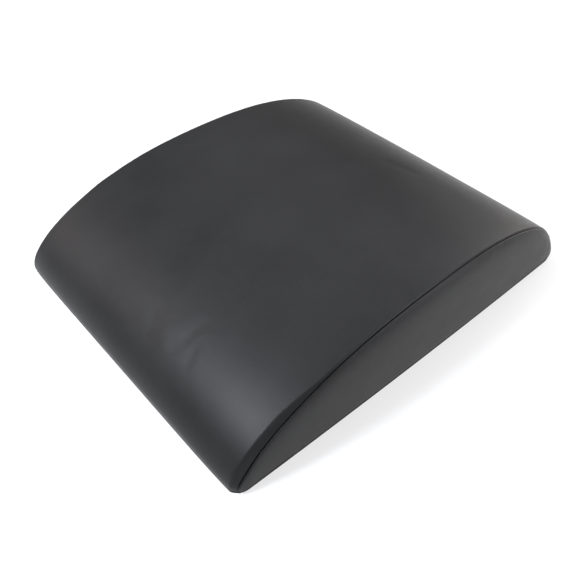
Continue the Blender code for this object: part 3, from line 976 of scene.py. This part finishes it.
class ABMAT_OT_base_cover(bpy.types.Operator):
    """Make the underside, turned up the tall end as far as the zip"""

    bl_idname = "abmat.base_cover"
    bl_label = "Base cover"

    def execute(self, context):
        sizes = context.scene.abmat_sizes
        form = Form(sizes)
        pull, flat, side = cross_rows()
        front, _ = form.rolled(np.array([[form.reach(FLOOR, True)]]), pull, flat, side)
        flange = np.linspace(form.whole, form.zip_at + WINDOW_HALF, FLANGE_STEPS)[:, None]
        wall, _ = form.rolled(flange, pull, flat, side)
        (first, last), (before, between, after) = BASE_ENDS, BASE_STEPS
        runs = (
            np.linspace(0, first, before)[:-1],
            np.linspace(first, last, between),
            np.linspace(last, 1, after)[1:],
        )
        share = np.concatenate(runs)[:, None]
        x = front[..., 0] + (wall[:1, :, 0] - front[..., 0]) * share
        edge = form.base_half(x)
        swell = np.sqrt(ease(share / BASE_SWELL[0])) * ease((1 - share) / BASE_SWELL[1])
        narrow = front[..., 1] + (wall[:1, :, 1] - front[..., 1]) * share
        whole = narrow / np.abs(narrow[:, :1]) * edge
        y = narrow + (whole - narrow) * swell
        sole = np.stack((x, y, np.zeros(x.shape)), 2)
        wall[0, :, 2] = 0
        points = np.concatenate((sole[:-1], wall))[:, ::-1]
        mesh = grid_mesh("base_cover", points)
        cover = own_piece("base_cover", mesh, finish_of("grained_base"))
        thicken(cover, PANEL, rim=0.0003)
        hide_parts("base_panel")
        return {"FINISHED"}


class ABMAT_OT_core(bpy.types.Operator):
    """Make the foam wedge inside the cover"""

    bl_idname = "abmat.core"
    bl_label = "Foam core"

    def execute(self, context):
        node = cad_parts["foam_core"]
        mesh = node.data.copy()
        mesh.name = "foam_wedge"
        mesh.materials.clear()
        work = bmesh.new()
        work.from_mesh(mesh)
        bmesh.ops.remove_doubles(work, verts=work.verts, dist=0.00001)
        work.to_mesh(mesh)
        work.free()
        core = own_piece("foam_wedge", mesh, finish_of("moulded_foam"))
        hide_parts("foam_core")
        return {"FINISHED"}


class ABMAT_OT_seam_stitches(bpy.types.Operator):
    """Make the stitches in both side seams and beside the zip"""

    bl_idname = "abmat.seam_stitches"
    bl_label = "Stitches"

    def execute(self, context):
        sizes = context.scene.abmat_sizes
        form = Form(sizes)
        thread = finish_of("twisted_thread")
        tip = FLOOR + SEAM_TIP
        first, last = form.reach(tip, True) + SEAM_MARGIN, form.reach(tip, False) - SEAM_MARGIN
        s = np.linspace(first, last, SEAM_POINTS)
        seam_x, seam_z = form.seam(s)
        dx, dz = form.inward(s)
        for name, side in (("left", 1), ("right", -1)):
            y = side * (form.seam_half(s) + SEAM_ROOM / 2)
            z = np.maximum(seam_z + dz * STITCH_DEPTH, FLOOR + THREAD / 2)
            path = np.stack((seam_x + dx * STITCH_DEPTH, y, z), 1)
            line = stitched_line("seam_stitches_" + name, path, sizes.stitch, THREAD / 2, thread)
            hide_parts("seam_thread_" + name)
        half = form.tail_half - sizes.tail_roll - TOPSTITCH_MARGIN
        for name, side in (("upper", -1), ("lower", 1)):
            at = form.zip_at + side * (WINDOW_HALF + TOPSTITCH_MARGIN)
            nx, nz = form.normal(at)
            lift = THREAD / 2
            x, z = float(form.x(at) + nx * lift), float(form.z(at) + nz * lift)
            path = [(x, y, z) for y in np.linspace(-half, half, TOPSTITCH_POINTS)]
            line = stitched_line("zip_topstitches_" + name, path, sizes.stitch, THREAD / 2, thread)
            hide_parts("zip_topstitch_" + name)
        return {"FINISHED"}


class ABMAT_OT_zip_fabric(bpy.types.Operator):
    """Make the zip's two woven tapes"""

    bl_idname = "abmat.zip_fabric"
    bl_label = "Zip tapes"

    def execute(self, context):
        sizes = context.scene.abmat_sizes
        form = Form(sizes)
        pull, flat, side = (row[:, 2:-2] for row in cross_rows())
        for name, way in (("upper", -1), ("lower", 1)):
            s = np.sort(form.zip_at + way * np.linspace(CHAIN_PART, TAPE_HALF, TAPE_POINTS))[:, None]
            face, _ = form.rolled(s, pull, flat, side, -TAPE_FACE)
            mesh = grid_mesh("zip_tape_" + name + "_weave", face)
            tape = own_piece(mesh.name, mesh, finish_of("woven_tape"))
            thicken(tape, TAPE_THICK, rim=0.0002)
            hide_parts("zip_tape_" + name)
        return {"FINISHED"}


class ABMAT_OT_zip_coils(bpy.types.Operator):
    """Make the zip's two rows of coil"""

    bl_idname = "abmat.zip_coils"
    bl_label = "Zip coils"

    def execute(self, context):
        sizes = context.scene.abmat_sizes
        form = Form(sizes)
        tangent_x, tangent_z = (float(v) for v in form.tangent(form.zip_at))
        turn = Matrix.Rotation(math.atan2(-tangent_z, tangent_x), 4, "Y")
        origin = Vector((float(form.x(form.zip_at)) + FRONT_EDGE, 0, float(form.z(form.zip_at))))
        axes = Matrix.Translation(origin) @ turn
        reach = form.tail_half - CHAIN_END_MARGIN
        turns = int(2 * (reach - COIL_WIRE) / sizes.coil_pitch)
        level = TAPE_FACE + CLEARANCE + COIL_THICK / 2
        for name, side in (("upper", -1), ("lower", 1)):
            middle = side * (CHAIN_PART + COIL_WIDTH / 2)
            curve = bpy.data.curves.new("zip_coil_" + name + "_turns", "CURVE")
            curve.dimensions = "3D"
            curve.bevel_depth = COIL_WIRE
            curve.bevel_resolution = 1
            curve.use_fill_caps = True
            spline = curve.splines.new("POLY")
            spline.points.add(turns * COIL_POINTS)
            for index, spot in enumerate(spline.points):
                angle = 2 * math.pi * index / COIL_POINTS
                across = middle + (COIL_WIDTH / 2 - COIL_WIRE) * math.cos(angle)
                out = level + (COIL_THICK / 2 - COIL_WIRE) * math.sin(angle) * side
                y = -reach + COIL_WIRE + sizes.coil_pitch * index / COIL_POINTS
                spot.co = (*(axes @ Vector((across, y, out))), 1)
            coil = own_piece(curve.name, curve, finish_of("nylon_coil"))
            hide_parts("zip_coil_" + name)
        return {"FINISHED"}


# Stage: side of the floor, its glow to the camera, and the strength of the surroundings
FLOOR_SIDE = 8
FLOOR_GLOW = (0.56, 0.56, 0.56)
SURROUND = 0.30
# Camera: turn, tilt and roll in degrees, place from the front base edge, lens and sensor in millimetres
CAMERA_TURNS = (48.145, 44.471, 0.963)
CAMERA_PLACE = (-0.11558, -0.3266, 0.40278)
CAMERA_LENS = 40.69
CAMERA_SENSOR = 36
# Lamps: name, what it is aimed at, azimuth and elevation from there in degrees, distance, size, power
# and colour
MIDDLE = Vector((0, 0, 0.03))
NEAR_CORNER = Vector((FRONT_EDGE + 0.0236, -0.1209, 0.0378))
LAMPS = (
    ("rear_low", MIDDLE, 0, 12, 1.6, 0.6, 4.2, (1.0, 0.88, 0.78)),
    ("rear", MIDDLE, 0, 35, 1.6, 0.9, 10.2, (0.97, 0.98, 1.0)),
    ("top", MIDDLE, 50, 52, 1.6, 1.0, 3.9, (0.97, 0.97, 1.0)),
    ("left", MIDDLE, 121, 27, 1.6, 0.7, 4.2, (1.0, 0.86, 0.84)),
    ("left_high", MIDDLE, 135, 60, 1.6, 0.9, 5.6, (0.90, 0.94, 1.0)),
    ("over_seam", MIDDLE, 215, 76, 1.6, 0.25, 1.5, (0.97, 0.97, 1.0)),
    ("right", MIDDLE, 306, 38, 1.6, 0.60, 6.6, (0.97, 0.96, 1.0)),
    ("right_low", MIDDLE, 300, 9, 1.6, 0.36, 8.0, (0.92, 0.93, 1.0)),
    ("right_rear", MIDDLE, 332, 16, 1.6, 0.40, 1.2, (1.0, 0.84, 0.76)),
    ("corner", NEAR_CORNER, 144, 51, 0.70, 0.26, 3.9, (0.89, 0.94, 1.0)),
    ("corner_low", NEAR_CORNER, 158, 43, 0.70, 0.12, 2.2, (0.89, 0.94, 1.0)),
)


class ABMAT_OT_stage(bpy.types.Operator):
    """Make the floor, the soft studio light and the camera"""

    bl_idname = "abmat.stage"
    bl_label = "Stage"

    def execute(self, context):
        scene = context.scene
        bpy.ops.mesh.primitive_plane_add(size=FLOOR_SIDE)
        floor = context.active_object
        floor.name = "floor"
        floor.data.materials.append(floor_finish(scene.abmat_colours.floor))
        self.world(scene)
        for lamp in LAMPS:
            self.lamp(scene, *lamp)
        self.camera(scene)
        scene.view_settings.view_transform = "Standard"
        return {"FINISHED"}

    def world(self, scene):
        """Soft grey surroundings."""
        world = bpy.data.worlds.new("studio")
        world.use_nodes = True
        ground = world.node_tree.nodes["Background"]
        ground.inputs["Color"].default_value = (1, 1, 1, 1)
        ground.inputs["Strength"].default_value = SURROUND
        scene.world = world

    def lamp(self, scene, name, aim, azimuth, elevation, distance, size, power, colour):
        a, e = math.radians(azimuth), math.radians(elevation)
        away = Vector((math.cos(a) * math.cos(e), math.sin(a) * math.cos(e), math.sin(e)))
        data = bpy.data.lights.new("lamp_" + name, "AREA")
        data.shape = "DISK"
        data.size = size
        data.energy = power
        data.color = colour
        lamp = bpy.data.objects.new("lamp_" + name, data)
        scene.collection.objects.link(lamp)
        lamp.location = aim + away * distance
        lamp.rotation_euler = away.to_track_quat("Z", "Y").to_euler()
        lamp.visible_camera = False

    def camera(self, scene):
        """The photograph's viewpoint."""
        turn, tilt, roll = (math.radians(angle) for angle in CAMERA_TURNS)
        flat = math.cos(tilt)
        ahead = Vector((flat * math.cos(turn), flat * math.sin(turn), -math.sin(tilt)))
        level = Vector((math.sin(turn), -math.cos(turn), 0))
        rise = level.cross(ahead)
        right = level * math.cos(roll) + rise * math.sin(roll)
        up = rise * math.cos(roll) - level * math.sin(roll)
        data = bpy.data.cameras.new("camera")
        data.sensor_width = CAMERA_SENSOR
        data.lens = CAMERA_LENS
        data.clip_start = 0.01
        camera = bpy.data.objects.new("camera", data)
        scene.collection.objects.link(camera)
        place = Matrix((right, up, -ahead)).transposed().to_4x4()
        x, y, z = CAMERA_PLACE
        place.translation = Vector((FRONT_EDGE + x, y, z))
        camera.matrix_world = place
        scene.camera = camera


class ABMAT_PT_panel(bpy.types.Panel):
    """The mat's sizes, colours and pieces."""

    bl_idname = "ABMAT_PT_panel"
    bl_label = LABEL
    bl_space_type = "VIEW_3D"
    bl_region_type = "UI"
    bl_category = LABEL

    def draw(self, context):
        for group in (context.scene.abmat_sizes, context.scene.abmat_colours):
            box = self.layout.box()
            for name in group.__annotations__:
                box.prop(group, name)
        for operator in OPERATORS:
            self.layout.operator(operator.bl_idname)


OPERATORS = (
    ABMAT_OT_finishes,
    ABMAT_OT_top_cover,
    ABMAT_OT_side_covers,
    ABMAT_OT_base_cover,
    ABMAT_OT_core,
    ABMAT_OT_seam_stitches,
    ABMAT_OT_zip_fabric,
    ABMAT_OT_zip_coils,
    ABMAT_OT_stage,
)
CLASSES = (MatSizes, MatColours, *OPERATORS, ABMAT_PT_panel)


def register():
    for item in CLASSES:
        bpy.utils.register_class(item)
    bpy.types.Scene.abmat_sizes = PointerProperty(type=MatSizes)
    bpy.types.Scene.abmat_colours = PointerProperty(type=MatColours)


def unregister():
    del bpy.types.Scene.abmat_colours
    del bpy.types.Scene.abmat_sizes
    for item in reversed(CLASSES):
        bpy.utils.unregister_class(item)


def main():
    register()
    bpy.ops.abmat.finishes()
    bpy.ops.abmat.top_cover()
    bpy.ops.abmat.side_covers()
    bpy.ops.abmat.base_cover()
    bpy.ops.abmat.core()
    bpy.ops.abmat.seam_stitches()
    bpy.ops.abmat.zip_fabric()
    bpy.ops.abmat.zip_coils()
    bpy.ops.abmat.stage()
    bpy.context.view_layer.update()


if __name__ == "__main__":
    main()
